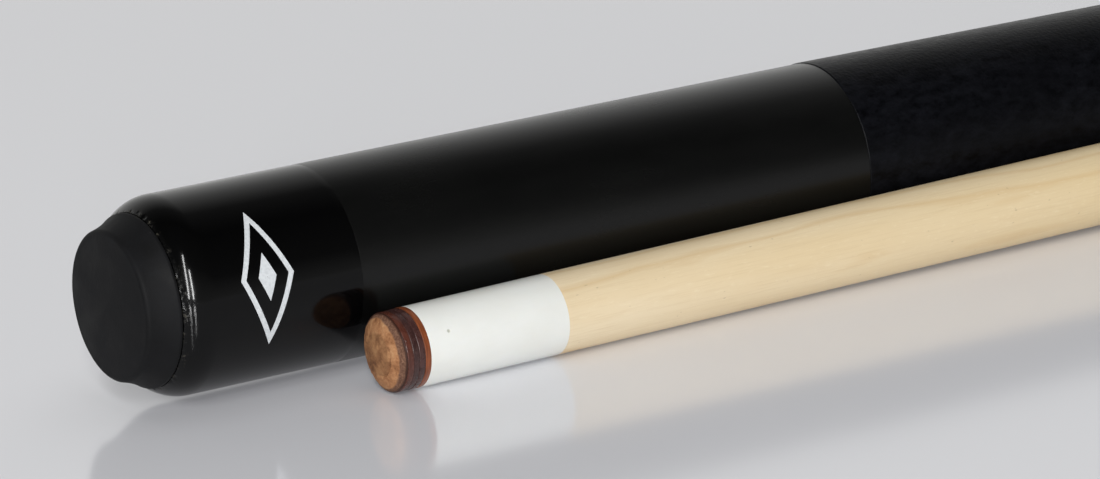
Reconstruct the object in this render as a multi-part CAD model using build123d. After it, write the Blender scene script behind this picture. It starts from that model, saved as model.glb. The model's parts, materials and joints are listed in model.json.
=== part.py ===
"""Two-piece pool cue, taken apart: butt half and shaft half lying side by side on a flat surface.

Each half is modelled along its own axis, which runs along +X from its outer end (bumper or tip)
to its joint face. Stations are distances along that axis. The halves are then laid on Z = 0.
"""
from build123d import *
import math
import os

# ---- Whole cue (mm) ---------------------------------------------------------------------------
HALF_LENGTH = 736.6          # 29 in from the outer end of each half to its joint face
JOINT_RADIUS = 10.6          # both joint faces
HALVES_SPACING = 22.0        # between the two axes, across the halves
TIP_OFFSET = 34.4            # the tip starts this far along from the bumper

# ---- Butt half: stations and outer radii -------------------------------------------------------
CAP_REAR = 6.0               # rear face of the butt cap
CAP_FRONT = 37.0
WRAP_REAR = 133.4
WRAP_FRONT = WRAP_REAR + 304.8
CAP_RADIUS = 15.9
WRAP_REAR_RADIUS = 15.6      # from here one straight taper runs to the joint face
CAP_REAR_RADIUS = 13.85      # of the rear face, which a long rounding joins to the side
CAP_LIP_END = 11.0           # where that rounding meets the side
WRAP_THICKNESS = 0.9

# ---- Bumper ------------------------------------------------------------------------------------
BUMPER_SEAT_GAP = 0.15       # between the bumper's rim and the cap
BUMPER_DOME = 0.7            # height of the domed face
BUMPER_FACE_RADIUS = 11.2
BUMPER_EDGE_RADIUS = 0.9     # rounding between face and flank
BUMPER_EDGE_TURN = 65        # degrees that the rounding turns through
BUMPER_RIM_RADIUS = 13.8
BUMPER_RIM_HEIGHT = 0.4
BUMPER_FLANK_SAG = 0.2       # how hollow the flank is
BUMPER_STEM_LENGTH = 17.5
BUMPER_STEM_RADIUS = 6.5
BUMPER_RIB_RADIUS = 7.1
BUMPER_RIB_PITCH = 4.0
BUMPER_RIB_COUNT = 4
BUMPER_RIB_START = 1.0       # from the seat to the first rib
BUMPER_RIB_CREST = 1.0       # length of a rib at its full radius
BUMPER_RIB_SLOPE = 1.0       # length over which it falls back to the stem
BUMPER_BORE_RADIUS = 7.2
BUMPER_TRAVEL = 30.0         # pulled clear of the cap

# ---- Inside the butt ----------------------------------------------------------------------------
REAR_TENON_RADIUS = 9.5      # of the handle, through the sleeve and into the cap
REAR_TENON_START = 26.0
WEIGHT_BOLT_RADIUS = 6.35    # 1/2-13 bolt
WEIGHT_BOLT_BORE_RADIUS = 6.42
WEIGHT_BOLT_BORE_SPARE = 0.15  # bore left in front of the bolt
WEIGHT_BOLT_START = 46.0
WEIGHT_BOLT_LENGTH = 50.0
WEIGHT_BOLT_TRAVEL = 19.0
HEX_SOCKET_FLATS = 7.9375    # 5/16 in key
HEX_SOCKET_DEPTH = 8.0
ROD_END_CHAMFER = 0.8
FOREARM_TENON_RADIUS = 7.9
FOREARM_TENON_LENGTH = 25.0
FOREARM_SCREW_RADIUS = 4.76  # 3/8 in screw between handle and forearm
FOREARM_SCREW_LENGTH = 88.0

# ---- Joint ---------------------------------------------------------------------------------------
COLLAR_LENGTH = 17.5
RING_LENGTH = 3.0
JOINT_TENON_RADIUS = 7.5     # wood running through ring and collar
PIN_RADIUS = 3.97            # 5/16-18 joint pin
PIN_FREE_LENGTH = 25.4
PIN_ROOT_LENGTH = 38.0
PIN_ROOT_RADIUS = 3.5        # plain stretch glued into the forearm
PIN_NOSE_CHAMFER = 1.0
INSERT_RADIUS = 5.55
INSERT_LENGTH = 30.0
INSERT_BORE_RADIUS = 4.03
ALIGNED_GAP = 2.0            # pin nose to shaft joint face when the halves are lined up

# ---- Shaft half ----------------------------------------------------------------------------------
TIP_RADIUS = 6.4
TIP_FACE_RADIUS = 5.9        # edge of the domed face
TIP_DOME = 1.8
TIP_BEVEL = 0.3
TIP_FACE_END = 2.2           # station where the striking layer ends
TIP_SIDE_END = 5.4           # station where the leather ends and the fibre pad starts
TIP_LAYERS = 4
PAD_LENGTH = 1.0
FERRULE_LENGTH = 25.4
FERRULE_END_RADIUS = 6.45
FERRULE_TENON_RADIUS = 4.0
FERRULE_TENON_LENGTH = 19.0
SLIM_END = 290.0             # the shaft stays slim up to here
SLIM_END_RADIUS = 6.7

PAD_END = TIP_SIDE_END + PAD_LENGTH
FERRULE_END = PAD_END + FERRULE_LENGTH
COLLAR_START = HALF_LENGTH - COLLAR_LENGTH
RING_START = COLLAR_START - RING_LENGTH
BUTT_SLOPE = (WRAP_REAR_RADIUS - JOINT_RADIUS) / (HALF_LENGTH - WRAP_REAR)
TIP_EDGE = TIP_DOME + TIP_BEVEL
SHAFT_SLOPE = (JOINT_RADIUS - TIP_RADIUS) / (HALF_LENGTH - TIP_EDGE)


def between(station, start, start_radius, end, end_radius):
    """Radius at a station on a straight taper."""
    return start_radius + (end_radius - start_radius) * (station - start) / (end - start)


def butt_radius(station):
    if station <= WRAP_REAR:
        return between(station, CAP_REAR, CAP_RADIUS, WRAP_REAR, WRAP_REAR_RADIUS)
    return between(station, WRAP_REAR, WRAP_REAR_RADIUS, HALF_LENGTH, JOINT_RADIUS)


def shaft_radius(station):
    if station <= FERRULE_END:
        return between(station, PAD_END, TIP_RADIUS, FERRULE_END, FERRULE_END_RADIUS)
    if station <= SLIM_END:
        return between(station, FERRULE_END, FERRULE_END_RADIUS, SLIM_END, SLIM_END_RADIUS)
    return between(station, SLIM_END, SLIM_END_RADIUS, HALF_LENGTH, JOINT_RADIUS)


def turned(*outline):
    """Solid turned about the X axis from a closed outline of (station, radius) points."""
    return revolve(make_face(Polyline(*outline, close=True)), Axis.X)


def turned_edges(*edges):
    """Solid turned about the X axis from edges that close an outline."""
    return revolve(make_face(Wire(edges)), Axis.X)


def rod(start, end, radius):
    return turned((start, 0), (start, radius), (end, radius), (end, 0))


def chamfered_rod(start, end, radius, start_chamfer, end_chamfer):
    return turned(
        (start, 0),
        (start, radius - start_chamfer),
        (start + start_chamfer, radius),
        (end - end_chamfer, radius),
        (end, radius - end_chamfer),
        (end, 0),
    )


def tube(start, end, bore_radius, radius_at):
    """Tube with a straight bore whose outside follows one straight taper."""
    return turned(
        (start, bore_radius),
        (start, radius_at(start)),
        (end, radius_at(end)),
        (end, bore_radius),
    )


def dome(height, edge_radius):
    """Arc of a ball, from its top on the axis to an edge at the given height and radius."""
    ball_radius = (height ** 2 + edge_radius ** 2) / (2 * height)
    half_turn = math.asin(edge_radius / ball_radius) / 2
    middle = (ball_radius * (1 - math.cos(half_turn)), ball_radius * math.sin(half_turn))
    return ThreePointArc((0, 0), middle, (height, edge_radius))


# ---- Butt half -----------------------------------------------------------------------------------

def make_bumper():
    """Rubber bumper: domed face, hollow flank, rim, and a ribbed stem that plugs into the cap."""
    seat = CAP_REAR - BUMPER_SEAT_GAP
    stem_end = seat + BUMPER_STEM_LENGTH
    face = dome(BUMPER_DOME, BUMPER_FACE_RADIUS)
    edge_turn = math.radians(BUMPER_EDGE_TURN)
    edge_run = BUMPER_EDGE_RADIUS * (1 - math.cos(edge_turn))
    edge_rise = BUMPER_EDGE_RADIUS * math.sin(edge_turn)
    flank_top = Vector(BUMPER_DOME + edge_run, BUMPER_FACE_RADIUS + edge_rise)
    flank_base = Vector(seat - BUMPER_RIM_HEIGHT, BUMPER_RIM_RADIUS)
    edge = RadiusArc(face @ 1, flank_top, -BUMPER_EDGE_RADIUS)
    flank = SagittaArc(flank_top, flank_base, -BUMPER_FLANK_SAG)
    back = Polyline(
        flank_base,
        (seat, BUMPER_RIM_RADIUS),
        (seat, BUMPER_STEM_RADIUS),
        (stem_end, BUMPER_STEM_RADIUS),
        (stem_end, 0),
        (0, 0),
    )
    bumper = turned_edges(face, edge, flank, *back.edges())
    for index in range(BUMPER_RIB_COUNT):
        rib_start = seat + BUMPER_RIB_START + index * BUMPER_RIB_PITCH
        rib_top = rib_start + BUMPER_RIB_CREST
        rib_end = rib_top + BUMPER_RIB_SLOPE
        bumper += turned(
            (rib_start, 0),
            (rib_start, BUMPER_RIB_RADIUS),
            (rib_top, BUMPER_RIB_RADIUS),
            (rib_end, BUMPER_STEM_RADIUS),
            (rib_end, 0),
        )
    return bumper


def make_butt_cap():
    """Gloss cap with a rounded rear lip, bored for the bumper and counterbored for the handle."""
    lip_run = CAP_LIP_END - CAP_REAR
    lip_rise = butt_radius(CAP_LIP_END) - CAP_REAR_RADIUS
    lip_radius = (lip_run ** 2 + lip_rise ** 2) / (2 * lip_rise)
    rear_edge = (CAP_REAR, CAP_REAR_RADIUS)
    lip_end = (CAP_LIP_END, butt_radius(CAP_LIP_END))
    rest = Polyline(
        lip_end,
        (CAP_FRONT, butt_radius(CAP_FRONT)),
        (CAP_FRONT, REAR_TENON_RADIUS),
        (REAR_TENON_START, REAR_TENON_RADIUS),
        (REAR_TENON_START, BUMPER_BORE_RADIUS),
        (CAP_REAR, BUMPER_BORE_RADIUS),
        rear_edge,
    )
    return turned_edges(RadiusArc(rear_edge, lip_end, -lip_radius), *rest.edges())


def make_butt_sleeve():
    return tube(CAP_FRONT, WRAP_REAR, REAR_TENON_RADIUS, butt_radius)


def make_weight_bolt():
    """Threaded steel rod with a hex socket at its rear end."""
    end = WEIGHT_BOLT_START + WEIGHT_BOLT_LENGTH
    bolt = chamfered_rod(WEIGHT_BOLT_START, end, WEIGHT_BOLT_RADIUS, ROD_END_CHAMFER, ROD_END_CHAMFER)
    socket_plane = Plane(origin=(WEIGHT_BOLT_START, 0, 0), x_dir=(0, 1, 0), z_dir=(1, 0, 0))
    hexagon = socket_plane * RegularPolygon(HEX_SOCKET_FLATS / 2, 6, major_radius=False)
    return bolt - extrude(hexagon, HEX_SOCKET_DEPTH)


def make_handle():
    """Wood core of the butt: tenon through the sleeve, seat for the wrap, bores at both ends."""
    core = turned(
        (REAR_TENON_START, 0),
        (REAR_TENON_START, REAR_TENON_RADIUS),
        (WRAP_REAR, REAR_TENON_RADIUS),
        (WRAP_REAR, butt_radius(WRAP_REAR) - WRAP_THICKNESS),
        (WRAP_FRONT, butt_radius(WRAP_FRONT) - WRAP_THICKNESS),
        (WRAP_FRONT, 0),
    )
    bolt_bore_end = WEIGHT_BOLT_START + WEIGHT_BOLT_LENGTH + WEIGHT_BOLT_BORE_SPARE
    core -= rod(REAR_TENON_START, bolt_bore_end, WEIGHT_BOLT_BORE_RADIUS)
    core -= rod(WRAP_FRONT - FOREARM_TENON_LENGTH, WRAP_FRONT, FOREARM_TENON_RADIUS)
    return core - make_forearm_screw()


def make_wrap():
    """Grip wrap, a thin sleeve lying flush in its seat on the handle."""
    return turned(
        (WRAP_REAR, butt_radius(WRAP_REAR) - WRAP_THICKNESS),
        (WRAP_REAR, butt_radius(WRAP_REAR)),
        (WRAP_FRONT, butt_radius(WRAP_FRONT)),
        (WRAP_FRONT, butt_radius(WRAP_FRONT) - WRAP_THICKNESS),
    )


def make_forearm_screw():
    """Screw hidden inside the butt, half in the handle and half in the forearm."""
    middle = WRAP_FRONT
    start = middle - FOREARM_SCREW_LENGTH / 2
    end = middle + FOREARM_SCREW_LENGTH / 2
    return chamfered_rod(start, end, FOREARM_SCREW_RADIUS, ROD_END_CHAMFER, ROD_END_CHAMFER)


def make_forearm():
    """Wood front of the butt, with a rear tenon and a front tenon that carries the joint."""
    wood = turned(
        (WRAP_FRONT - FOREARM_TENON_LENGTH, 0),
        (WRAP_FRONT - FOREARM_TENON_LENGTH, FOREARM_TENON_RADIUS),
        (WRAP_FRONT, FOREARM_TENON_RADIUS),
        (WRAP_FRONT, butt_radius(WRAP_FRONT)),
        (RING_START, butt_radius(RING_START)),
        (RING_START, JOINT_TENON_RADIUS),
        (HALF_LENGTH, JOINT_TENON_RADIUS),
        (HALF_LENGTH, 0),
    )
    return wood - make_forearm_screw() - make_joint_pin()


def make_joint_pin():
    """Steel pin: a plain root in the forearm and a thicker free end for the shaft's insert."""
    start = HALF_LENGTH - PIN_ROOT_LENGTH
    end = HALF_LENGTH + PIN_FREE_LENGTH
    return turned(
        (start, 0),
        (start, PIN_ROOT_RADIUS - ROD_END_CHAMFER),
        (start + ROD_END_CHAMFER, PIN_ROOT_RADIUS),
        (HALF_LENGTH, PIN_ROOT_RADIUS),
        (HALF_LENGTH, PIN_RADIUS),
        (end - PIN_NOSE_CHAMFER, PIN_RADIUS),
        (end, PIN_RADIUS - PIN_NOSE_CHAMFER),
        (end, 0),
    )


# ---- Shaft half ----------------------------------------------------------------------------------

def make_tip_face():
    """Domed and bevelled striking layer of the tip."""
    face = dome(TIP_DOME, TIP_FACE_RADIUS)
    layer_end = tip_layer_end(1)
    side = Polyline(
        (TIP_DOME, TIP_FACE_RADIUS),
        (TIP_EDGE, TIP_RADIUS),
        (layer_end, TIP_RADIUS),
        (layer_end, 0),
        (0, 0),
    )
    return turned_edges(face, *side.edges())


def tip_layer_end(layer):
    """Station where a layer of the tip ends; layer 1 is the striking face."""
    thickness = (TIP_SIDE_END - TIP_FACE_END) / (TIP_LAYERS - 1)
    return TIP_FACE_END + (layer - 1) * thickness


def make_tip_layer(layer):
    if layer == 1:
        return make_tip_face()
    return rod(tip_layer_end(layer - 1), tip_layer_end(layer), TIP_RADIUS)


def make_tip_pad():
    return rod(TIP_SIDE_END, PAD_END, TIP_RADIUS)


def make_ferrule():
    """White ferrule, closed at the tip end and bored for the shaft's tenon."""
    ferrule = turned(
        (PAD_END, 0),
        (PAD_END, shaft_radius(PAD_END)),
        (FERRULE_END, shaft_radius(FERRULE_END)),
        (FERRULE_END, 0),
    )
    return ferrule - rod(FERRULE_END - FERRULE_TENON_LENGTH, FERRULE_END, FERRULE_TENON_RADIUS)


def make_shaft():
    """Maple shaft with a tenon for the ferrule and a tenon that carries the joint."""
    wood = turned(
        (FERRULE_END - FERRULE_TENON_LENGTH, 0),
        (FERRULE_END - FERRULE_TENON_LENGTH, FERRULE_TENON_RADIUS),
        (FERRULE_END, FERRULE_TENON_RADIUS),
        (FERRULE_END, shaft_radius(FERRULE_END)),
        (SLIM_END, shaft_radius(SLIM_END)),
        (RING_START, shaft_radius(RING_START)),
        (RING_START, JOINT_TENON_RADIUS),
        (HALF_LENGTH, JOINT_TENON_RADIUS),
        (HALF_LENGTH, 0),
    )
    return wood - rod(HALF_LENGTH - INSERT_LENGTH, HALF_LENGTH, INSERT_RADIUS)


def make_shaft_insert():
    """Brass insert that takes the joint pin."""
    start = HALF_LENGTH - INSERT_LENGTH
    return tube(start, HALF_LENGTH, INSERT_BORE_RADIUS, lambda station: INSERT_RADIUS)


# ---- Laying the halves down ----------------------------------------------------------------------

def butt_place():
    """The butt's straight taper, from the wrap to the joint, lies along Z = 0."""
    tilt = math.atan(BUTT_SLOPE)
    rear_height = (JOINT_RADIUS + BUTT_SLOPE * HALF_LENGTH) * math.cos(tilt)
    return Location((0, 0, rear_height), (0, math.degrees(tilt), 0))


def shaft_place():
    """The shaft rests on the edge of its tip and on its joint collar."""
    tilt = math.atan(SHAFT_SLOPE)
    tip_height = (TIP_RADIUS - SHAFT_SLOPE * TIP_EDGE) * math.cos(tilt)
    return Location((TIP_OFFSET, -HALVES_SPACING, tip_height), (0, -math.degrees(tilt), 0))


def make_butt_parts():
    parts = {
        "bumper": make_bumper(),
        "butt_cap": make_butt_cap(),
        "butt_sleeve": make_butt_sleeve(),
        "weight_bolt": make_weight_bolt(),
        "handle": make_handle(),
        "wrap": make_wrap(),
        "forearm_screw": make_forearm_screw(),
        "forearm": make_forearm(),
        "butt_joint_ring": tube(RING_START, COLLAR_START, JOINT_TENON_RADIUS, butt_radius),
        "butt_joint_collar": tube(COLLAR_START, HALF_LENGTH, JOINT_TENON_RADIUS, butt_radius),
        "joint_pin": make_joint_pin(),
    }
    return parts


def make_shaft_parts():
    parts = {
        "tip_pad": make_tip_pad(),
        "ferrule": make_ferrule(),
        "shaft": make_shaft(),
        "shaft_joint_ring": tube(RING_START, COLLAR_START, JOINT_TENON_RADIUS, shaft_radius),
        "shaft_joint_collar": tube(COLLAR_START, HALF_LENGTH, JOINT_TENON_RADIUS, shaft_radius),
        "shaft_insert": make_shaft_insert(),
    }
    for layer in range(1, TIP_LAYERS + 1):
        parts[f"tip_layer_{layer}"] = make_tip_layer(layer)
    return parts


butt_parts = {name: butt_place() * part for name, part in make_butt_parts().items()}
shaft_parts = {name: shaft_place() * part for name, part in make_shaft_parts().items()}
all_parts = {**butt_parts, **shaft_parts}

# The origin is the middle of the bottom of the box round both halves.
box = Compound(list(all_parts.values())).bounding_box()
to_origin = Location((-(box.min.X + box.max.X) / 2, -(box.min.Y + box.max.Y) / 2, -box.min.Z))

os.makedirs("parts", exist_ok=True)
for name, part in all_parts.items():
    export_step(to_origin * part, f"parts/{name}.step")
print("size", [round(value, 3) for value in box.size])
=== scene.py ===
"""Two-piece pool cue, taken apart: the looks of both halves, a pale floor, soft light and the camera."""
import json
import math

import bmesh
import bpy
from mathutils import Matrix, Vector, noise


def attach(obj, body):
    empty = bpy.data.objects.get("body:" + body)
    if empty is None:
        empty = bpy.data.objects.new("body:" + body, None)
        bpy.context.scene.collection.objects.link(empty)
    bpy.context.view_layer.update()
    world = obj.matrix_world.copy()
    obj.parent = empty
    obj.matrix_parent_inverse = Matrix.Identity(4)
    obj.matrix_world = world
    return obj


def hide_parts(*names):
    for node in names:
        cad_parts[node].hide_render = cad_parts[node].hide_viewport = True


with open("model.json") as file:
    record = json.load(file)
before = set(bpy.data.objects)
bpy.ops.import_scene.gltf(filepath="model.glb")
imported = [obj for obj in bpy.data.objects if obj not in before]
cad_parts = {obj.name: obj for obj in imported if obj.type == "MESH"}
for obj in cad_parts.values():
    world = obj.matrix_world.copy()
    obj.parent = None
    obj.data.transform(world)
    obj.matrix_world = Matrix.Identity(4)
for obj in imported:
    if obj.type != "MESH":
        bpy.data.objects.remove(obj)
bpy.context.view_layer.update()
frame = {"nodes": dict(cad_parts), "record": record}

MM = 0.001
TAU = 2 * math.pi

# ---- Sizes that the CAD model doesn't hold (mm) ------------------------------------------------
HALF_LENGTH = 736.6          # outer end of each half to its joint face
PIN_FREE_LENGTH = 25.4
INSERT_LENGTH = 30.0
THREAD_PITCH = 25.4 / 18
PIN_THREAD_DEPTH = 0.85
INSERT_THREAD_DEPTH = 0.45
CAP_LIP_END = 11.0           # where the cap's rear rounding meets its side
EDGE_BREAK = 0.12            # rounding of a turned corner that has no size of its own
FLUSH_EDGE = 0.015           # rounding where cap and sleeve meet

# ---- Points round a turned piece, and shading -------------------------------------------------
BUTT_SEGMENTS = 288
CAP_SEGMENTS = 720           # fine enough for the chips in its rear edge
SHAFT_SEGMENTS = 192
THREAD_SEGMENTS = 96

SHARP_ANGLE = math.radians(32)  # edges sharper than this stay sharp in the shading
GLOSS_BLACK = (0.0012, 0.0012, 0.0013)

# ---- The two halves' own frames: local X runs along the axis from the outer end ----------------


def half_matrix(mount_name, station):
    """Frame of a half whose axis passes through a mount at a known station."""
    mount = next(m for m in frame["record"]["mounts"] if m["name"] == mount_name)
    along = Vector(mount["axis"]).normalized()
    side = Vector((0, 1, 0))
    up = along.cross(side)
    origin = Vector(mount["pos_m"]) - along * station * MM
    rotation = Matrix((along, side, up)).transposed().to_4x4()
    return Matrix.Translation(origin) @ rotation


BUTT = half_matrix("joint_pin_end", HALF_LENGTH + PIN_FREE_LENGTH / 2)
SHAFT = half_matrix("insert_bore", HALF_LENGTH - INSERT_LENGTH / 2)


class Span:
    """Stations and radii (mm) of a turned CAD node, measured on its own half."""

    def __init__(self, node, half):
        to_half = half.inverted()
        points = [to_half @ v.co for v in frame["nodes"][node].data.vertices]
        found = [(p.x / MM, math.hypot(p.y, p.z) / MM) for p in points]
        self.start = min(s for s, r in found)
        self.end = max(s for s, r in found)
        first = [r for s, r in found if s < self.start + 0.02]
        last = [r for s, r in found if s > self.end - 0.02]
        self.start_outer, self.start_inner = max(first), min(first)
        self.end_outer, self.end_inner = max(last), min(last)
        self.widest = max(r for s, r in found)

    def outer(self, station):
        """Radius of the straight taper at a station."""
        share = (station - self.start) / (self.end - self.start)
        return self.start_outer + share * (self.end_outer - self.start_outer)


# ---- Turned shapes -----------------------------------------------------------------------------


def softened(corners, steps=5):
    """Outline points from (station, radius, rounding) corners, with an arc at each rounded one."""
    points = []
    count = len(corners)
    for index, (station, radius, rounding) in enumerate(corners):
        here = Vector((station, radius))
        if rounding <= 0 or index in (0, count - 1) and corners[0][:2] != corners[-1][:2]:
            points.append(here)
            continue
        before = Vector(corners[index - 1][:2])
        after = Vector(corners[(index + 1) % count][:2])
        back, on = (before - here).normalized(), (after - here).normalized()
        for step in range(steps + 1):
            t = step / steps
            start, end = here + back * rounding, here + on * rounding
            points.append(start * (1 - t) ** 2 + here * 2 * t * (1 - t) + end * t ** 2)
    return [(p.x, p.y) for p in points]


def along_line(start, end, count):
    """Points between two outline points, both left out."""
    return [
        (start[0] + (end[0] - start[0]) * k / count, start[1] + (end[1] - start[1]) * k / count)
        for k in range(1, count)
    ]


def turned_mesh(name, outline, segments, closed=True, shift=None):
    """Mesh turned about local X from (station, radius) points in mm."""
    mesh = bmesh.new()
    rows = []
    for station, radius in outline:
        if radius < 1e-6:
            rows.append([mesh.verts.new((station * MM, 0, 0))] * segments)
            continue
        row = []
        for k in range(segments):
            angle = TAU * k / segments
            s, r = shift(station, radius, angle) if shift else (station, radius)
            row.append(mesh.verts.new((s * MM, r * math.cos(angle) * MM, r * math.sin(angle) * MM)))
        rows.append(row)
    pairs = list(zip(rows, rows[1:]))
    if closed:
        pairs.append((rows[-1], rows[0]))
    for lower, upper in pairs:
        for k in range(segments):
            n = (k + 1) % segments
            corners = [lower[k], lower[n], upper[n], upper[k]]
            unique = list(dict.fromkeys(corners))
            if len(unique) >= 3:
                mesh.faces.new(unique)
    return finish_mesh(name, mesh)


def finish_mesh(name, mesh):
    """Object from a bmesh, smooth-shaded except at its sharp edges."""
    bmesh.ops.recalc_face_normals(mesh, faces=mesh.faces)
    for face in mesh.faces:
        face.smooth = True
    for edge in mesh.edges:
        edge.smooth = edge.calc_face_angle(0) < SHARP_ANGLE
    data = bpy.data.meshes.new(name)
    mesh.to_mesh(data)
    mesh.free()
    piece = bpy.data.objects.new(name, data)
    bpy.context.scene.collection.objects.link(piece)
    return piece


def place(piece, half, body, material, nodes=()):
    """Puts a piece made in a half's own frame in the cue, in place of CAD nodes."""
    piece.matrix_world = half
    piece.data.materials.append(material)
    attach(piece, body)
    if nodes:
        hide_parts(*nodes)
    return piece


# ---- Material building blocks ------------------------------------------------------------------


class Shader:
    """A node material with one Principled shader, built step by step."""

    def __init__(self, name, color, roughness, **constants):
        self.material = bpy.data.materials.new(name)
        self.material.use_nodes = True
        self.tree = self.material.node_tree
        self.nodes = self.tree.nodes
        self.surface = next(n for n in self.nodes if n.type == "BSDF_PRINCIPLED")
        self.surface.inputs["Base Color"].default_value = (*color, 1)
        self.surface.inputs["Roughness"].default_value = roughness
        for key, value in constants.items():
            self.surface.inputs[key.replace("_", " ")].default_value = value
        self.coordinates = self.nodes.new("ShaderNodeTexCoord").outputs["Object"]

    def link(self, start, end):
        self.tree.links.new(start, end)

    def stretched(self, x=1.0, y=1.0, z=1.0, shift=(0, 0, 0)):
        """Object coordinates in millimetres, divided by a length along each axis."""
        node = self.nodes.new("ShaderNodeMapping")
        node.inputs["Scale"].default_value = (1000 / x, 1000 / y, 1000 / z)
        node.inputs["Location"].default_value = shift
        self.link(self.coordinates, node.inputs["Vector"])
        return node.outputs["Vector"]

    def noise(self, vector, detail=4.0, roughness=0.55):
        """Cloudy noise, one cell per unit of the vector."""
        node = self.nodes.new("ShaderNodeTexNoise")
        node.inputs["Scale"].default_value = 1.0
        node.inputs["Detail"].default_value = detail
        node.inputs["Roughness"].default_value = roughness
        self.link(vector, node.inputs["Vector"])
        return node.outputs["Fac"]

    def cells(self, vector):
        """Smooth pebbles, one per unit of the vector."""
        node = self.nodes.new("ShaderNodeTexVoronoi")
        node.feature = "SMOOTH_F1"
        node.inputs["Scale"].default_value = 1.0
        self.link(vector, node.inputs["Vector"])
        return node.outputs["Distance"]

    def ramp(self, factor, *stops):
        """Colour ramp through (position, colour) stops; a bare number is a grey."""
        node = self.nodes.new("ShaderNodeValToRGB")
        ramp = node.color_ramp
        while len(ramp.elements) < len(stops):
            ramp.elements.new(0.5)
        for element, (position, color) in zip(ramp.elements, stops):
            element.position = position
            element.color = (color, color, color, 1) if isinstance(color, (int, float)) else (*color, 1)
        self.link(factor, node.inputs["Fac"])
        return node.outputs["Color"]

    def mix(self, factor, first, second):
        """Mixes two colours, each a colour or a socket; the factor is a number or a socket."""
        node = self.nodes.new("ShaderNodeMix")
        node.data_type = "RGBA"
        factor_in, a_in, b_in = node.inputs[0], node.inputs[6], node.inputs[7]
        for socket, value in ((factor_in, factor), (a_in, first), (b_in, second)):
            if isinstance(value, bpy.types.NodeSocket):
                self.link(value, socket)
            elif socket is factor_in:
                socket.default_value = value
            else:
                socket.default_value = (*value, 1)
        return node.outputs[2]

    def math(self, operation, first, second=0.0, clamp=False):
        node = self.nodes.new("ShaderNodeMath")
        node.operation = operation
        node.use_clamp = clamp
        for socket, value in zip(node.inputs, (first, second)):
            if isinstance(value, bpy.types.NodeSocket):
                self.link(value, socket)
            else:
                socket.default_value = value
        return node.outputs[0]

    def axis(self, index):
        """One object coordinate in millimetres."""
        node = self.nodes.new("ShaderNodeSeparateXYZ")
        self.link(self.stretched(), node.inputs["Vector"])
        return node.outputs[index]

    def from_axis(self, y=0.0, z=0.0):
        """Distance in millimetres from a line beside the half's axis, moved by y and z."""
        node = self.nodes.new("ShaderNodeVectorMath")
        node.operation = "LENGTH"
        self.link(self.stretched(x=1e6, shift=(0, -y, -z)), node.inputs[0])
        return node.outputs["Value"]

    def band(self, value, low, high, soft=0.2):
        """1 between low and high, fading to 0 over soft on both sides."""
        rise = self.nodes.new("ShaderNodeMapRange")
        rise.inputs["From Min"].default_value = low - soft
        rise.inputs["From Max"].default_value = low + soft
        fall = self.nodes.new("ShaderNodeMapRange")
        fall.inputs["From Min"].default_value = high - soft
        fall.inputs["From Max"].default_value = high + soft
        fall.inputs["To Min"].default_value = 1.0
        fall.inputs["To Max"].default_value = 0.0
        self.link(value, rise.inputs["Value"])
        self.link(value, fall.inputs["Value"])
        return self.math("MULTIPLY", rise.outputs[0], fall.outputs[0])

    def color(self, socket):
        self.link(socket, self.surface.inputs["Base Color"])

    def roughness(self, socket):
        self.link(socket, self.surface.inputs["Roughness"])

    def bump(self, height, distance_mm, strength=1.0):
        node = self.nodes.new("ShaderNodeBump")
        node.inputs["Strength"].default_value = strength
        node.inputs["Distance"].default_value = distance_mm * MM
        self.link(height, node.inputs["Height"])
        previous = self.surface.inputs["Normal"]
        if previous.is_linked:
            self.link(previous.links[0].from_socket, node.inputs["Normal"])
        self.link(node.outputs["Normal"], previous)


# ---- Materials ---------------------------------------------------------------------------------


def rubber_material():
    s = Shader("moulded_rubber", (0.0055, 0.0055, 0.006), 0.62, Specular_IOR_Level=0.16)
    cloud = s.noise(s.stretched(5, 5, 5), detail=5)
    base = s.ramp(cloud, (0.3, (0.0045, 0.0045, 0.0048)), (0.7, (0.0072, 0.0074, 0.0084)))
    dust = s.ramp(s.noise(s.stretched(0.32, 0.32, 0.32), detail=2), (0.72, 0.0), (0.78, 0.4))
    smudge = s.ramp(s.noise(s.stretched(3, 3, 3, (4.0, 1.0, 2.0)), detail=4), (0.60, 0.0), (0.75, 0.25))
    dusty = s.mix(dust, base, (0.075, 0.072, 0.065))
    s.color(s.mix(smudge, dusty, (0.013, 0.014, 0.017)))
    s.roughness(s.ramp(cloud, (0.3, 0.55), (0.7, 0.70)))
    s.bump(s.noise(s.stretched(0.5, 0.5, 0.5), detail=4), 0.02)
    s.bump(cloud, 0.08, 0.6)
    return s.material


def polish(s):
    """Fingerprint-soft changes of gloss and a faint unevenness."""
    smear = s.ramp(s.noise(s.stretched(14, 4, 4), detail=3), (0.3, 0.07), (0.75, 0.12))
    s.bump(s.noise(s.stretched(20, 8, 8), detail=2), 0.05, 0.2)
    return smear


def gloss_material():
    s = Shader("polished_black", GLOSS_BLACK, 0.08, Specular_IOR_Level=0.24)
    s.roughness(polish(s))
    dust = s.ramp(s.noise(s.stretched(0.3, 0.3, 0.3), detail=1), (0.76, 0.0), (0.80, 0.12))
    s.color(s.mix(dust, GLOSS_BLACK, (0.08, 0.08, 0.08)))
    return s.material


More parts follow.
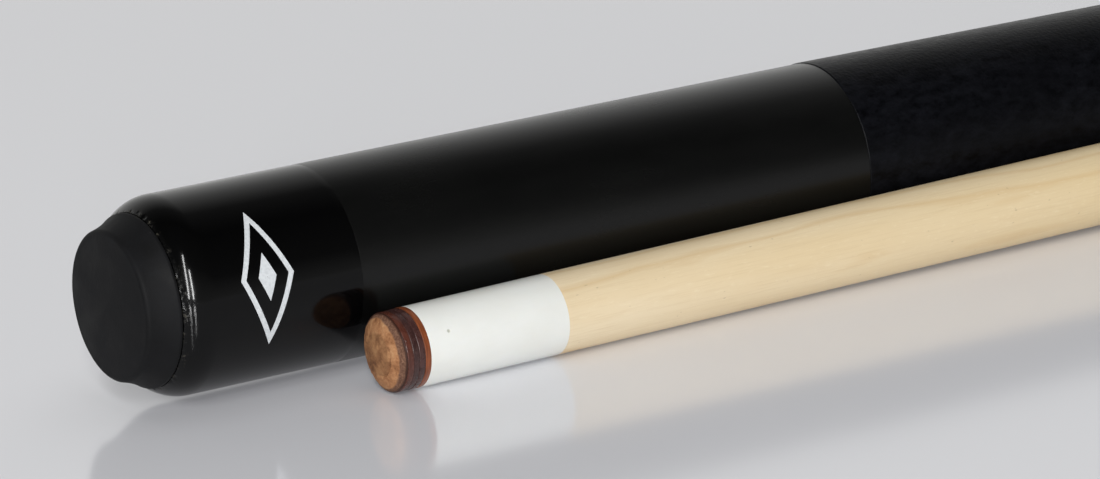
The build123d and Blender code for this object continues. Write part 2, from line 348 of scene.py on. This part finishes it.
def cap_material(rear):
    """Polished black, scuffed along its rear edge and with dried glue there in patches."""
    s = Shader("polished_black_cap", GLOSS_BLACK, 0.08, Specular_IOR_Level=0.24)
    station = s.axis(0)
    patches = s.noise(s.stretched(3, 2.2, 2.2, (0.7, 0.2, 0.4)), detail=3)
    grit = s.noise(s.stretched(0.55, 0.55, 0.55), detail=4, roughness=0.65)
    edge = s.band(station, rear - 1.0, rear + 0.55, 0.3)
    glue_amount = s.math("MULTIPLY", edge, s.ramp(patches, (0.51, 0.0), (0.62, 1.0)))
    glue = s.math("MULTIPLY", glue_amount, s.ramp(grit, (0.50, 0.0), (0.64, 0.8)), clamp=True)
    glue_color = s.ramp(
        grit,
        (0.50, (0.020, 0.018, 0.015)),
        (0.64, (0.075, 0.068, 0.052)),
        (0.80, (0.26, 0.245, 0.20)),
    )
    scuffed = s.band(station, rear - 1.0, rear + 0.3, 0.3)
    scuff = s.math("MULTIPLY", scuffed, s.ramp(grit, (0.40, 0.15), (0.65, 1.0)))
    s.color(s.mix(glue, s.mix(scuff, GLOSS_BLACK, (0.0045, 0.0046, 0.0045)), glue_color))
    dull = s.mix(scuff, polish(s), (0.38, 0.38, 0.38))
    s.roughness(s.mix(glue, dull, (0.6, 0.6, 0.6)))
    s.bump(s.math("MULTIPLY", glue, grit), 0.04, 0.6)
    s.bump(s.math("MULTIPLY", scuff, grit), 0.02, 0.5)
    return s.material


def satin_material():
    s = Shader("satin_black_lacquer", (0.0016, 0.0017, 0.0017), 0.25, Specular_IOR_Level=0.36)
    cloud = s.noise(s.stretched(30, 9, 9), detail=5, roughness=0.6)
    s.color(s.ramp(cloud, (0.3, (0.0018, 0.0019, 0.0019)), (0.72, (0.0034, 0.0035, 0.0033))))
    s.roughness(s.ramp(cloud, (0.3, 0.22), (0.7, 0.29)))
    s.bump(s.noise(s.stretched(0.5, 0.5, 0.5), detail=4, roughness=0.7), 0.010)
    s.bump(s.noise(s.stretched(40, 3, 3), detail=3), 0.02, 0.5)
    return s.material


def wrap_material():
    s = Shader("grained_wrap", (0.0030, 0.0032, 0.0044), 0.36, Specular_IOR_Level=0.11)
    mottle = s.noise(s.stretched(2.6, 1.5, 1.5), detail=6, roughness=0.72)
    cloud = s.noise(s.stretched(18, 9, 9), detail=3)
    shade = s.ramp(mottle, (0.36, (0.0012, 0.0013, 0.0019)), (0.66, (0.0062, 0.0067, 0.0092)))
    s.color(s.mix(s.ramp(cloud, (0.35, 0.0), (0.7, 0.65)), shade, (0.0016, 0.0017, 0.0023)))
    s.roughness(s.ramp(mottle, (0.3, 0.28), (0.7, 0.42)))
    s.bump(s.cells(s.stretched(0.55, 0.55, 0.55)), 0.05, 0.7)
    s.bump(mottle, 0.06, 0.7)
    return s.material


def maple_material():
    s = Shader("sealed_maple", (0.78, 0.65, 0.45), 0.36, Specular_IOR_Level=0.35)
    cloud = s.noise(s.stretched(55, 7, 7), detail=3)
    near = s.ramp(cloud, (0.35, (0.81, 0.68, 0.475)), (0.68, (0.76, 0.61, 0.39)))
    along = s.ramp(s.math("DIVIDE", s.axis(0), 400.0), (0.10, 0.0), (0.45, 1.0))
    pale = s.mix(along, near, (0.73, 0.575, 0.335))
    warp = s.noise(s.stretched(60, 10, 10, (1.2, 0.3, 0.8)), detail=3, roughness=0.42)
    across = s.math("ADD", s.math("MULTIPLY", s.axis(1), 1.1), s.math("MULTIPLY", s.axis(2), 0.7))
    layers = s.math("SINE", s.math("ADD", s.math("MULTIPLY", warp, 22.0), across))
    figured = s.mix(s.ramp(layers, (0.40, 0.0), (0.97, 0.42), (1.0, 0.55)), pale, (0.67, 0.48, 0.25))
    fibre = s.noise(s.stretched(9, 0.28, 0.28), detail=4, roughness=0.65)
    grained = s.mix(s.ramp(fibre, (0.50, 0.0), (0.80, 0.42)), figured, (0.62, 0.46, 0.26))
    rays = s.noise(s.stretched(1.8, 0.22, 0.5), detail=2)
    lit = s.mix(s.ramp(rays, (0.60, 0.0), (0.78, 0.30)), grained, (0.88, 0.77, 0.57))
    flecks = s.noise(s.stretched(1.4, 0.6, 0.6, (0.0, 7.0, 0.0)), detail=1)
    s.color(s.mix(s.ramp(flecks, (0.757, 0.0), (0.80, 0.42)), lit, (0.36, 0.27, 0.16)))
    s.roughness(s.ramp(fibre, (0.3, 0.32), (0.8, 0.46)))
    s.bump(fibre, 0.012, 0.6)
    return s.material


def ferrule_material(pit):
    s = Shader("white_ferrule", (0.82, 0.83, 0.79), 0.25, Specular_IOR_Level=0.45)
    s.surface.inputs["Subsurface Weight"].default_value = 0.12
    s.surface.inputs["Subsurface Radius"].default_value = (0.0012, 0.001, 0.0008)
    cloud = s.noise(s.stretched(8, 5, 5), detail=4)
    clean = s.ramp(cloud, (0.3, (0.82, 0.825, 0.78)), (0.7, (0.85, 0.86, 0.825)))
    grime = s.ramp(s.noise(s.stretched(1.2, 0.25, 0.25), detail=3), (0.70, 0.0), (0.82, 0.28))
    marked = s.mix(grime, clean, (0.58, 0.57, 0.50))
    distance = s.nodes.new("ShaderNodeVectorMath")
    distance.operation = "DISTANCE"
    distance.inputs[1].default_value = pit
    s.link(s.stretched(), distance.inputs[0])
    at_pit = s.ramp(distance.outputs["Value"], (0.14, 1.0), (0.34, 0.0))
    s.color(s.mix(at_pit, marked, (0.56, 0.56, 0.48)))
    s.bump(at_pit, -0.10)
    s.bump(s.noise(s.stretched(30, 0.5, 0.5), detail=2), 0.006, 0.6)
    return s.material


def tip_leather_material():
    """Tan face with a browner middle, a brown bevel and a burnished dark side."""
    s = Shader("worn_tip_leather", (0.42, 0.25, 0.14), 0.8, Specular_IOR_Level=0.25)
    stain = s.noise(s.stretched(2.0, 2.0, 2.0, (0.3, 0.9, 0.1)), detail=6, roughness=0.7)
    grain = s.noise(s.stretched(0.30, 0.30, 0.30), detail=4)
    ragged = s.math("MULTIPLY", s.math("SUBTRACT", stain, 0.5), 0.9)
    radius = s.math("ADD", s.from_axis(), ragged)
    worn_radius = s.math("ADD", s.from_axis(0.60, -0.15), ragged)
    tan = s.ramp(
        stain,
        (0.32, (0.175, 0.072, 0.030)),
        (0.44, (0.355, 0.160, 0.070)),
        (0.55, (0.470, 0.235, 0.110)),
        (0.70, (0.600, 0.360, 0.180)),
    )
    brown = s.ramp(stain, (0.36, (0.110, 0.046, 0.022)), (0.60, (0.310, 0.152, 0.066)))
    middle = s.mix(s.ramp(s.math("DIVIDE", radius, 10.0), (0.33, 0.72), (0.37, 0.0)), tan, brown)
    bevel = s.ramp(
        grain,
        (0.40, (0.095, 0.045, 0.030)),
        (0.60, (0.190, 0.100, 0.068)),
        (0.72, (0.34, 0.20, 0.13)),
    )
    at_bevel = s.ramp(s.math("DIVIDE", worn_radius, 10.0), (0.550, 0.0), (0.575, 0.92))
    outside = s.mix(at_bevel, middle, bevel)
    side = s.band(s.axis(0), 1.9, 9.0, 0.08)
    speckled = s.mix(s.ramp(grain, (0.56, 0.0), (0.76, 0.4)), outside, (0.20, 0.09, 0.04))
    s.color(s.mix(side, speckled, (0.045, 0.018, 0.012)))
    s.roughness(s.mix(side, (0.82, 0.82, 0.82), (0.3, 0.3, 0.3)))
    s.bump(grain, 0.06, 0.9)
    s.bump(stain, 0.10, 0.5)
    return s.material


def pressed_leather_material(name, dark, light):
    """Burnished pressed layers, streaked round the tip."""
    s = Shader(name, dark, 0.27, Specular_IOR_Level=0.5)
    streak = s.noise(s.stretched(0.14, 2.4, 2.4), detail=4, roughness=0.7)
    cloud = s.noise(s.stretched(1.0, 1.3, 1.3), detail=4)
    both = s.math("ADD", s.math("MULTIPLY", streak, 0.6), s.math("MULTIPLY", cloud, 0.4))
    s.color(s.ramp(both, (0.36, dark), (0.64, light)))
    s.roughness(s.ramp(cloud, (0.3, 0.18), (0.7, 0.36)))
    s.bump(streak, 0.03, 0.8)
    return s.material


def fibre_material():
    s = Shader("red_fibre", (0.24, 0.062, 0.02), 0.32, Specular_IOR_Level=0.5)
    streak = s.noise(s.stretched(0.2, 2.0, 2.0), detail=4)
    s.color(s.ramp(streak, (0.35, (0.15, 0.036, 0.012)), (0.65, (0.29, 0.078, 0.024))))
    s.bump(streak, 0.02, 0.7)
    return s.material


def turned_metal_material(name, color, roughness):
    """Metal with fine marks round its axis."""
    s = Shader(name, color, roughness, Metallic=1.0)
    marks = s.noise(s.stretched(0.12, 6, 6), detail=3)
    dark = tuple(c * 0.82 for c in color)
    s.color(s.ramp(marks, (0.35, dark), (0.65, color)))
    s.roughness(s.ramp(marks, (0.3, roughness * 0.8), (0.7, roughness * 1.3)))
    s.bump(marks, 0.006, 0.7)
    return s.material


def core_wood_material():
    s = Shader("core_hardwood", (0.42, 0.28, 0.15), 0.6)
    grain = s.noise(s.stretched(14, 0.6, 0.6), detail=5)
    s.color(s.ramp(grain, (0.35, (0.33, 0.21, 0.11)), (0.65, (0.52, 0.36, 0.2))))
    s.bump(grain, 0.03)
    return s.material


def print_material():
    s = Shader("white_print", (0.72, 0.75, 0.77), 0.3)
    wear = s.noise(s.stretched(0.5, 0.5, 0.5), detail=3)
    s.color(s.ramp(wear, (0.3, (0.60, 0.63, 0.65)), (0.6, (0.72, 0.75, 0.77))))
    return s.material


# ---- Butt half ---------------------------------------------------------------------------------


def make_bumper():
    """Domed rubber bumper with a hollow flank, a thin rim and a ribbed stem."""
    span = Span("bumper", BUTT)
    face_radius, dome_height, edge, edge_turn = 11.2, 0.7, 0.9, math.radians(65)
    rim_radius, rim_height, rim_rounding, flank_sag = span.widest, 0.4, 0.12, 0.2
    stem_length, stem_radius = 17.5, 6.5
    rib_count, rib_radius, rib_pitch, rib_start, rib_crest, rib_slope = 4, 7.1, 4.0, 1.0, 1.0, 1.0
    dome_rows, edge_rows, flank_rows = 12, 9, 16
    ripple_height, ripple_scale, ripple_shift = 0.05, 0.12, Vector((9, 0, 0))
    seat = span.end - stem_length
    outline = []
    for step in range(dome_rows + 1):
        share = step / dome_rows
        outline.append((dome_height * share ** 2, face_radius * share))
    for step in range(1, edge_rows + 1):
        turn = edge_turn * step / edge_rows
        outline.append((dome_height + edge * (1 - math.cos(turn)), face_radius + edge * math.sin(turn)))
    top, base = Vector(outline[-1]), Vector((seat - rim_height, rim_radius))
    inward = Vector((base.y - top.y, top.x - base.x)).normalized()
    for step in range(1, flank_rows):
        share = step / flank_rows
        outline.append(tuple(top.lerp(base, share) + inward * flank_sag * 4 * share * (1 - share)))
    rim = [(*top, 0), (*base, rim_rounding), (seat, rim_radius, rim_rounding), (seat, stem_radius, 0)]
    outline += softened(rim, 3)[1:]
    for rib in range(rib_count):
        start = seat + rib_start + rib * rib_pitch
        outline += [(start, stem_radius), (start, rib_radius), (start + rib_crest, rib_radius)]
        outline.append((start + rib_crest + rib_slope, stem_radius))
    outline += [(span.end, stem_radius), (span.end, 0)]

    def shift(station, radius, angle):
        at = Vector((station, math.cos(angle) * radius, math.sin(angle) * radius)) * ripple_scale
        along = ripple_height * noise.noise(at)
        return station + along, radius + ripple_height * noise.noise(at + ripple_shift)

    piece = turned_mesh("bumper_moulding", outline, BUTT_SEGMENTS, closed=False, shift=shift)
    return place(piece, BUTT, "bumper", rubber_material(), ["bumper"])


def make_butt_cap():
    """Gloss cap; its long rear rounding is chipped along the rear edge."""
    span = Span("butt_cap", BUTT)
    rear_radius, bore_break = 13.85, 0.3
    wear_length, wear_reach, chip_depth, wave_height = 0.7, 1.5, 0.22, 0.04
    tenon_start, tenon_radius = 26.0, span.end_inner
    face_rows, lip_rows, side_rows = 8, 40, 20
    rise = span.widest - rear_radius
    run = CAP_LIP_END - span.start
    lip_radius = (run ** 2 + rise ** 2) / (2 * rise)
    outline = [(span.start + bore_break, span.start_inner), (span.start, span.start_inner + bore_break)]
    outline += along_line(outline[-1], (span.start, rear_radius), face_rows)
    for step in range(lip_rows + 1):
        station = span.start + run * step / lip_rows
        drop = lip_radius - math.sqrt(lip_radius ** 2 - (CAP_LIP_END - station) ** 2)
        outline.append((station, span.widest - drop))
    outline += along_line(outline[-1], (span.end, span.end_outer), side_rows)
    outline += softened(
        [
            (CAP_LIP_END, span.widest, 0),
            (span.end, span.end_outer, FLUSH_EDGE),
            (span.end, tenon_radius, 0),
            (tenon_start, tenon_radius, 0),
        ]
    )[1:]
    outline.append((tenon_start, span.start_inner))

    def shift(station, radius, angle):
        into = station - span.start
        if radius < rear_radius - wear_reach or into > wear_length:
            return station, radius
        at = Vector((into * 0.9, math.cos(angle) * radius * 0.8, math.sin(angle) * radius * 0.8))
        fade = max(0.0, 1 - into / wear_length)
        chip = max(0.0, noise.fractal(at, 0.8, 2.0, 4) - 0.10) * chip_depth * fade
        wave = wave_height * noise.noise(at * 0.25) * fade
        return station + chip * 0.5, radius - chip + wave

    piece = turned_mesh("butt_cap_turning", outline, CAP_SEGMENTS, shift=shift)
    return place(piece, BUTT, "butt", cap_material(span.start), ["butt_cap"])


def make_tube(name, node, half, body, material, segments, edge=EDGE_BREAK, proud=0.0):
    """Straight-tapered tube with broken edges, in place of a CAD tube."""
    span = Span(node, half)
    corners = [
        (span.start, span.start_inner, 0),
        (span.start, span.start_outer + proud, edge),
        (span.end, span.end_outer + proud, edge),
        (span.end, span.end_inner, 0),
    ]
    corners.append(corners[0])
    outline = softened(corners)[:-1]
    return place(turned_mesh(name, outline, segments), half, body, material, [node])


def make_forearm(material):
    """Front of the butt between wrap and ring, with the tenon that carries ring and collar."""
    span = Span("forearm", BUTT)
    wrap = Span("wrap", BUTT)
    ring = Span("butt_joint_ring", BUTT)
    tenon = ring.start_inner
    outline = softened(
        [
            (wrap.end, 0, 0),
            (wrap.end, wrap.end_outer, EDGE_BREAK),
            (ring.start, ring.start_outer, EDGE_BREAK),
            (ring.start, tenon, 0),
            (span.end, tenon, 0.1),
            (span.end, 0, 0),
        ]
    )
    piece = turned_mesh("forearm_turning", outline, BUTT_SEGMENTS, closed=False)
    return place(piece, BUTT, "butt", material, ["forearm"])


def thread_wedge(station, angle):
    """How far into the groove of a screw thread a point is: 0 on the crest, 1 at the root."""
    root_level, flank_slope = 1.25, 2.9
    phase = (station / THREAD_PITCH - angle / TAU) % 1.0
    return min(1.0, max(0.0, root_level - abs(phase - 0.5) * flank_slope))


def make_joint_pin(material):
    """Screw pin with a helical thread on its free end, which fades at both of its own ends."""
    span = Span("joint_pin", BUTT)
    radius = span.widest
    nose, nose_rounding = 1.0, 0.3
    sunk_length, sunk_radius, neck_radius = 2.0, radius - 0.5, radius - 0.45
    thread_start, thread_end, run_out = HALF_LENGTH + 1.0, span.end - 0.3, 1.2
    rows_start, rows_end, rows_per_turn = HALF_LENGTH + 0.1, span.end - nose, 14
    rows = int((rows_end - rows_start) / THREAD_PITCH * rows_per_turn)
    outline = [
        (HALF_LENGTH - sunk_length, 0),
        (HALF_LENGTH - sunk_length, sunk_radius),
        (HALF_LENGTH, neck_radius),
    ]
    outline += [(rows_start + (rows_end - rows_start) * k / rows, radius) for k in range(rows + 1)]
    tip = [(rows_end, radius, 0), (span.end, radius - nose, nose_rounding), (span.end, 0, 0)]
    outline += softened(tip)[1:]

    def shift(station, radius, angle):
        if not thread_start < station < thread_end:
            return station, radius
        fade = min(1.0, (station - thread_start) / run_out, (thread_end - station) / run_out)
        return station, radius - PIN_THREAD_DEPTH * thread_wedge(station, angle) * max(0.0, fade)

    piece = turned_mesh("joint_pin_screw", outline, THREAD_SEGMENTS, closed=False, shift=shift)
    return place(piece, BUTT, "butt", material, ["joint_pin"])


def make_insert(material):
    """Brass insert with the matching thread inside."""
    span = Span("shaft_insert", SHAFT)
    bore, outer = span.end_inner, span.end_outer
    mouth_length, mouth_flare, row_count = 0.8, 0.5, 280
    mouth = span.end - mouth_length
    outline = [(span.start, bore), (span.start, outer), (span.end, outer), (span.end, bore + mouth_flare)]
    rows = [(mouth - (mouth - span.start) * k / row_count, bore) for k in range(row_count)]

    # The insert's thread stands in from the bore where a pin has its groove.
    def shift(station, radius, angle):
        if abs(radius - bore) > 1e-4 or station <= span.start + 0.01:
            return station, radius
        return station, radius - INSERT_THREAD_DEPTH * thread_wedge(station, angle)

    piece = turned_mesh("shaft_insert_turning", outline + rows, THREAD_SEGMENTS, shift=shift)
    return place(piece, SHAFT, "shaft", material, ["shaft_insert"])


def make_cap_mark():
    """Plain printed mark on the cap: a slim diamond outline round a small solid diamond."""
    center_station, center_angle = 20.3, math.radians(165.5)
    half_width, half_height, line = 4.7, 11.2, 0.85
    core_share, pinhole_share = 0.34, 0.01
    lift, thickness = 0.02, 0.03
    cap_radius, side_slope = Span("butt_cap", BUTT).widest, 0.0023
    mesh = bmesh.new()

    def on_cap(x, y, height):
        station = center_station + x
        radius = cap_radius - side_slope * (station - CAP_LIP_END) + height
        angle = center_angle - y / cap_radius
        return mesh.verts.new((station * MM, radius * math.cos(angle) * MM, radius * math.sin(angle) * MM))

    def strip(inner, outer, rows=10):
        """Closed band between two rings of points, as a thin shell that follows the cap."""
        count = len(inner)
        levels = []
        for height in (lift, lift + thickness):
            level = []
            for row in range(rows + 1):
                share = row / rows
                ring = [Vector(a).lerp(Vector(b), share) for a, b in zip(inner, outer)]
                level.append([on_cap(x, y, height) for x, y in ring])
            levels.append(level)
        low, high = levels
        for k in range(count):
            n = (k + 1) % count
            for row in range(rows):
                mesh.faces.new((high[row][k], high[row][n], high[row + 1][n], high[row + 1][k]))
                mesh.faces.new((low[row][k], low[row + 1][k], low[row + 1][n], low[row][n]))
            mesh.faces.new((low[rows][k], high[rows][k], high[rows][n], low[rows][n]))
            mesh.faces.new((low[0][n], high[0][n], high[0][k], low[0][k]))

    def diamond(width, height, steps=14):
        corners = [Vector((0, height)), Vector((width, 0)), Vector((0, -height)), Vector((-width, 0))]
        return [
            tuple(corners[side].lerp(corners[(side + 1) % 4], step / steps))
            for side in range(4)
            for step in range(steps)
        ]

    def scaled(share):
        return diamond(half_width * share, half_height * share)

    slant = math.hypot(half_width, half_height) / (half_width * half_height)
    strip(scaled(1 - line * slant), scaled(1))
    strip(scaled(pinhole_share), scaled(core_share))
    piece = finish_mesh("cap_mark", mesh)
    return place(piece, BUTT, "butt", print_material())


# ---- Shaft half --------------------------------------------------------------------------------


def make_tip_face(material):
    """Domed leather face with a pressed ring mark, a bevel and a ragged edge."""
    span = Span("tip_layer_1", SHAFT)
    face_radius, dome_height, side_radius = 5.9, 1.8, span.end_outer - 0.1
    bevel_start, side_start = 5.1, 2.05
    dome_rows, bevel_rows = 44, 10
    groove_depth, groove_width, flat_depth = 0.32, 0.17, 0.14
    rough_height, grain_height, ragged_height = 0.07, 0.025, 0.10
    ball = (dome_height ** 2 + face_radius ** 2) / (2 * dome_height)
    outline = []
    for step in range(dome_rows + 1):
        radius = bevel_start * step / dome_rows
        outline.append((ball - math.sqrt(ball ** 2 - radius ** 2), radius))
    rim = (dome_height + 0.1, side_radius - 0.25)
    outline += along_line(outline[-1], rim, bevel_rows)
    side = [
        (*rim, 0),
        (side_start, side_radius - 0.02, 0.08),
        (span.end, side_radius, 0.1),
        (span.end, 0, 0),
    ]
    outline += softened(side, 4)
    ring_radius, ring_middle, ring_reach = 3.4, math.radians(208), math.radians(62)

    def shift(station, radius, angle):
        if station > dome_height + 0.2:
            return station, radius
        turned = abs((angle - ring_middle + math.pi) % TAU - math.pi)
        fade = max(0.0, 1 - (turned / ring_reach) ** 4)
        groove = groove_depth * fade * math.exp(-(((radius - ring_radius) / groove_width) ** 2))
        flat = flat_depth * max(0.0, 1 - (radius / ring_radius) ** 4)
        at = Vector((0.3, math.cos(angle) * radius, math.sin(angle) * radius))
        rough = rough_height * noise.fractal(at * 0.9, 0.7, 2.0, 5) + grain_height * noise.noise(at * 5)
        edge = ragged_height * noise.noise(at * 1.6) if radius > bevel_start - 0.4 else 0.0
        return station + groove + flat + rough * min(1.0, radius / 0.6), radius + edge

    piece = turned_mesh("tip_face", outline, SHAFT_SEGMENTS, closed=False, shift=shift)
    return place(piece, SHAFT, "shaft", material, ["tip_layer_1"])


def make_disc(name, node, material, inset, edge, seed):
    """Thin layer of the tip with rounded edges and a slightly uneven side."""
    span = Span(node, SHAFT)
    radius = span.end_outer - inset
    uneven_height, waves = 0.03, 2.2
    corners = [(span.start, 0, 0), (span.start, radius, edge), (span.end, radius, edge), (span.end, 0, 0)]
    outline = softened(corners, 4)

    def shift(station, radius, angle):
        if radius < 1:
            return station, radius
        at = Vector((seed * 3.7, math.cos(angle) * waves, math.sin(angle) * waves))
        return station, radius + uneven_height * noise.noise(at)

    piece = turned_mesh(name, outline, SHAFT_SEGMENTS, closed=False, shift=shift)
    return place(piece, SHAFT, "shaft", material, [node])


def make_ferrule():
    """White ferrule, solid at the tip end and bored behind that, with one small pit in its side."""
    span = Span("ferrule", SHAFT)
    front_thickness = 6.4
    pit_station, pit_angle = 10.2, math.radians(152.5)
    pit_radius = span.outer(pit_station)
    pit = (pit_station, pit_radius * math.cos(pit_angle), pit_radius * math.sin(pit_angle))
    outline = softened(
        [
            (span.start, 0, 0),
            (span.start, span.start_outer, 0.1),
            (span.end, span.end_outer, 0.06),
            (span.end, span.end_inner, 0),
        ]
    )
    bore_end = span.start + front_thickness
    outline += [(bore_end, span.end_inner), (bore_end, 0)]
    piece = turned_mesh("ferrule_turning", outline, SHAFT_SEGMENTS, closed=False)
    return place(piece, SHAFT, "shaft", ferrule_material(pit), ["ferrule"])


def make_shaft(material):
    """Maple shaft: slim for the first part, then an even taper to the joint."""
    span = Span("shaft", SHAFT)
    ferrule = Span("ferrule", SHAFT)
    ring = Span("shaft_joint_ring", SHAFT)
    insert = Span("shaft_insert", SHAFT)
    slim_end, slim_end_radius, slim_rounding = 290.0, 6.7, 60.0
    front_tenon_start, front_tenon = ferrule.end - 2.0, ferrule.end_inner - 0.02
    tenon = ring.start_inner
    outline = [(front_tenon_start, 0), (front_tenon_start, front_tenon)]
    outline += softened(
        [
            (ferrule.end, front_tenon, 0),
            (ferrule.end, ferrule.end_outer, 0.06),
            (slim_end, slim_end_radius, slim_rounding),
            (ring.start, ring.start_outer, EDGE_BREAK),
            (ring.start, tenon, 0),
            (span.end, tenon, 0.1),
            (span.end, insert.end_outer, 0),
            (insert.start, insert.end_outer, 0),
        ]
    )
    outline += [(insert.start, 0)]
    piece = turned_mesh("shaft_turning", outline, SHAFT_SEGMENTS, closed=False)
    return place(piece, SHAFT, "shaft", material, ["shaft"])


# ---- The whole cue -----------------------------------------------------------------------------

gloss = gloss_material()
satin = satin_material()
steel = turned_metal_material("plain_steel", (0.48, 0.48, 0.49), 0.28)
silver = turned_metal_material("polished_ring", (0.66, 0.66, 0.67), 0.16)
brass = turned_metal_material("turned_brass", (0.62, 0.44, 0.19), 0.25)
core_wood = core_wood_material()

make_bumper()
make_butt_cap()
make_cap_mark()
make_tube("butt_sleeve_turning", "butt_sleeve", BUTT, "butt", satin, BUTT_SEGMENTS, FLUSH_EDGE)
make_tube("wrap_sleeve", "wrap", BUTT, "butt", wrap_material(), BUTT_SEGMENTS, 0.25, 0.12)
make_forearm(satin)
make_tube("butt_ring", "butt_joint_ring", BUTT, "butt", silver, BUTT_SEGMENTS, 0.2)
make_tube("butt_collar", "butt_joint_collar", BUTT, "butt", gloss, BUTT_SEGMENTS, 0.25)
make_joint_pin(steel)

make_tip_face(tip_leather_material())
layer_looks = [
    ((0.060, 0.017, 0.011), (0.120, 0.034, 0.020), 0.04),
    ((0.028, 0.012, 0.011), (0.070, 0.028, 0.024), 0.07),
    ((0.034, 0.014, 0.013), (0.080, 0.031, 0.026), 0.03),
]
for number, (dark, light, inset) in enumerate(layer_looks, start=2):
    look = pressed_leather_material(f"pressed_leather_{number}", dark, light)
    make_disc(f"tip_ply_{number}", f"tip_layer_{number}", look, inset, 0.16, number)
make_disc("tip_pad_disc", "tip_pad", fibre_material(), 0.0, 0.1, 8)
make_ferrule()
make_shaft(maple_material())
make_tube("shaft_ring", "shaft_joint_ring", SHAFT, "shaft", silver, SHAFT_SEGMENTS, 0.2)
make_tube("shaft_collar", "shaft_joint_collar", SHAFT, "shaft", gloss, SHAFT_SEGMENTS, 0.25)
make_insert(brass)

for node, material in (("handle", core_wood), ("forearm_screw", steel), ("weight_bolt", steel)):
    carried = frame["nodes"][node]
    carried.data.materials.clear()
    carried.data.materials.append(material)

# ---- Floor, light and camera -------------------------------------------------------------------


def make_floor():
    """Pale glossy floor, a hair below the cue."""
    half_width, drop = 6.0, 0.0002
    mesh = bmesh.new()
    bmesh.ops.create_grid(mesh, x_segments=2, y_segments=2, size=half_width)
    floor = finish_mesh("floor", mesh)
    s = Shader("pale_gloss_floor", (0.785, 0.79, 0.815), 0.12, Specular_IOR_Level=0.5)
    s.surface.inputs["Emission Color"].default_value = (1.0, 1.0, 1.10, 1)
    s.surface.inputs["Emission Strength"].default_value = 0.08
    s.bump(s.noise(s.stretched(120, 120, 120), detail=2), 0.2, 0.15)
    floor.data.materials.append(s.material)
    floor.location.z = -drop


CAMERA_HEADING = math.radians(32.08)    # from +Y towards +X


def make_sky():
    """Sky that is pale ahead of the camera, nearly black overhead and grey again low behind it."""
    world = bpy.data.worlds.new("studio")
    bpy.context.scene.world = world
    world.use_nodes = True
    nodes, links = world.node_tree.nodes, world.node_tree.links
    direction = nodes.new("ShaderNodeTexCoord").outputs["Generated"]
    split = nodes.new("ShaderNodeSeparateXYZ")
    links.new(direction, split.inputs["Vector"])
    ahead = nodes.new("ShaderNodeVectorMath")
    ahead.operation = "DOT_PRODUCT"
    ahead.inputs[1].default_value = (math.sin(CAMERA_HEADING), math.cos(CAMERA_HEADING), 0)
    links.new(direction, ahead.inputs[0])
    rise = nodes.new("ShaderNodeMath")
    rise.operation = "ARCTAN2"
    links.new(split.outputs["Z"], rise.inputs[0])
    links.new(ahead.outputs["Value"], rise.inputs[1])
    share = nodes.new("ShaderNodeMath")
    share.operation = "DIVIDE"
    share.inputs[1].default_value = math.pi
    links.new(rise.outputs[0], share.inputs[0])
    ramp = nodes.new("ShaderNodeValToRGB")
    # Degrees up from the horizon ahead of the camera, over the top and down behind it.
    stops = [(0, 0.75), (16, 0.75), (28, 0.69), (46, 0.43), (60, 0.12), (85, 0.022), (140, 0.09), (180, 0.40)]
    while len(ramp.color_ramp.elements) < len(stops):
        ramp.color_ramp.elements.new(0.5)
    for element, (degrees, grey) in zip(ramp.color_ramp.elements, stops):
        element.position = degrees / 180
        element.color = (grey, grey, grey * 0.985, 1)
    links.new(share.outputs[0], ramp.inputs["Fac"])
    links.new(ramp.outputs["Color"], nodes["Background"].inputs["Color"])


def make_softbox(name, degrees_left, distance, width, reach, watts):
    """Upright strip light between two heights, this far round to the left of the -Y direction."""
    bottom, top = reach
    data = bpy.data.lights.new(name, "AREA")
    data.shape = "RECTANGLE"
    data.size = width
    data.size_y = top - bottom
    data.energy = watts
    light = bpy.data.objects.new(name, data)
    bpy.context.scene.collection.objects.link(light)
    turn = math.radians(degrees_left)
    outward = Vector((-math.sin(turn), -math.cos(turn), 0))
    light.location = BUTT.translation + outward * distance
    light.location.z = (bottom + top) / 2
    light.rotation_euler = (-outward).to_track_quat("-Z", "Y").to_euler()
    light.visible_camera = False


def make_overhead(watts):
    """Wide soft light over the foreground that fills the floor and stays out of the reflections."""
    offset = Vector((0.35, -0.25, 1.3))  # from the bumper end of the butt
    data = bpy.data.lights.new("overhead", "AREA")
    data.size = 1.2
    data.energy = watts
    light = bpy.data.objects.new("overhead", data)
    bpy.context.scene.collection.objects.link(light)
    light.location = BUTT.translation + offset
    light.visible_glossy = False
    light.visible_camera = False


def make_camera():
    """Long lens, low over the camera side of the bumper, slightly rolled."""
    distance_back = Vector((-0.4995, -0.9267, 0.2924))
    tilt, roll = math.radians(-14.39), math.radians(-3.74)
    data = bpy.data.cameras.new("camera")
    data.sensor_width = 36.0
    data.lens = 231.35
    data.clip_start = 0.05
    data.clip_end = 50.0
    camera = bpy.data.objects.new("camera", data)
    bpy.context.scene.collection.objects.link(camera)
    bumper_end = BUTT.translation
    camera.location = Vector((bumper_end.x, bumper_end.y, 0)) + distance_back
    look = Matrix.Rotation(-CAMERA_HEADING, 4, "Z") @ Matrix.Rotation(math.pi / 2 + tilt, 4, "X")
    camera.rotation_euler = (look @ Matrix.Rotation(roll, 4, "Z")).to_euler()
    bpy.context.scene.camera = camera


make_floor()
make_sky()
make_softbox("near_strip", degrees_left=30, distance=2.5, width=0.10, reach=(0.18, 1.75), watts=30)
make_softbox("left_strip", degrees_left=41, distance=2.5, width=0.10, reach=(0.18, 3.05), watts=50)
make_overhead(watts=2.7)
make_camera()
bpy.context.scene.view_settings.view_transform = "Standard"
